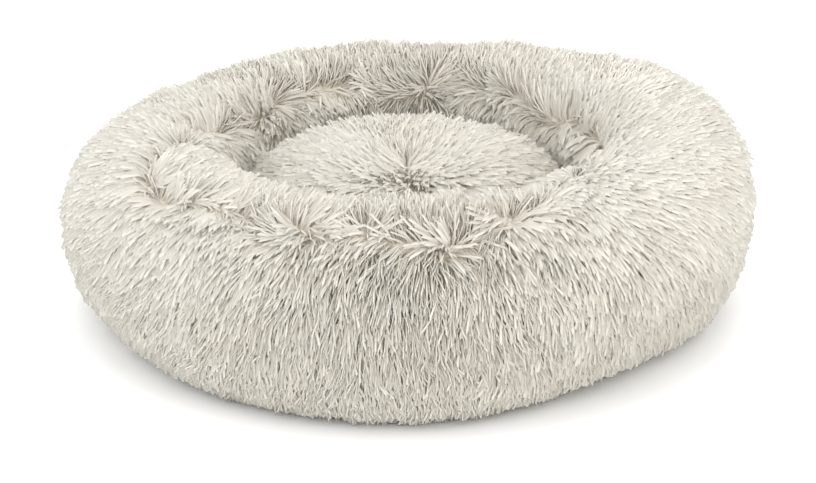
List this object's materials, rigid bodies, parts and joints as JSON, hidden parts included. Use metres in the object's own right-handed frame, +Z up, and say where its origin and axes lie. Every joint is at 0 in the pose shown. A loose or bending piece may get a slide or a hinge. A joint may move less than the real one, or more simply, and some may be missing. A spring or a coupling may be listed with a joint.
{
  "type": "pet cushion bed",
  "caption": "Round donut pet bed: a fat ring of long-pile faux fur round a full, loose centre cushion, with a zip in the back of the ring's cover.",
  "frame": {"origin": "middle of the underside, on the floor that the bed lies on", "axes": "+Z up; -Y towards the front of the bed, +Y towards the back, where the zip is; +X to the right seen from the front"},
  "size_m": [0.6988, 0.6988, 0.2],
  "materials": {
    "fur": "matte",
    "liner_cloth": "matte",
    "fibre_filling": "matte",
    "base_cloth": "matte",
    "zip_tape": "matte",
    "zip_coil": "satin",
    "zip_metal": "satin",
    "label": "satin"
  },
  "bodies": {
    "bolster": {"bolster_fur_front_right": "fur", "bolster_fur_rear": "fur", "bolster_fur_front_left": "fur", "bolster_liner": "liner_cloth", "bolster_filling": "fibre_filling", "base_panel": "base_cloth", "care_label": "label", "zip_tape_upper": "zip_tape", "zip_tape_lower": "zip_tape", "zip_coil_upper": "zip_coil", "zip_coil_lower": "zip_coil", "zip_top_stop_upper": "zip_metal", "zip_top_stop_lower": "zip_metal", "zip_bottom_stop": "zip_metal"},
    "centre_cushion": {"cushion_fur_top": "fur", "cushion_filling": "fibre_filling", "cushion_underside": "base_cloth"},
    "zip_slider": {"zip_slider": "zip_metal"},
    "zip_pull": {"zip_pull": "zip_metal"}
  },
  "joints": [
    {"name": "cushion_lift", "type": "slide", "parent": "bolster", "child": "centre_cushion", "axis": [0, 0, 1], "range_m": [0, 0.25]},
    {"name": "zip_travel", "type": "hinge", "parent": "bolster", "child": "zip_slider", "pos_m": [0, 0, 0.062], "axis": [0, 0, 1], "range_deg": [0, 93.5]},
    {"name": "pull_swing", "type": "hinge", "parent": "zip_slider", "child": "zip_pull", "pos_m": [0.2198, 0.26579, 0.062], "axis": [0, 0, -1], "range_deg": [0, 170]}
  ]
}
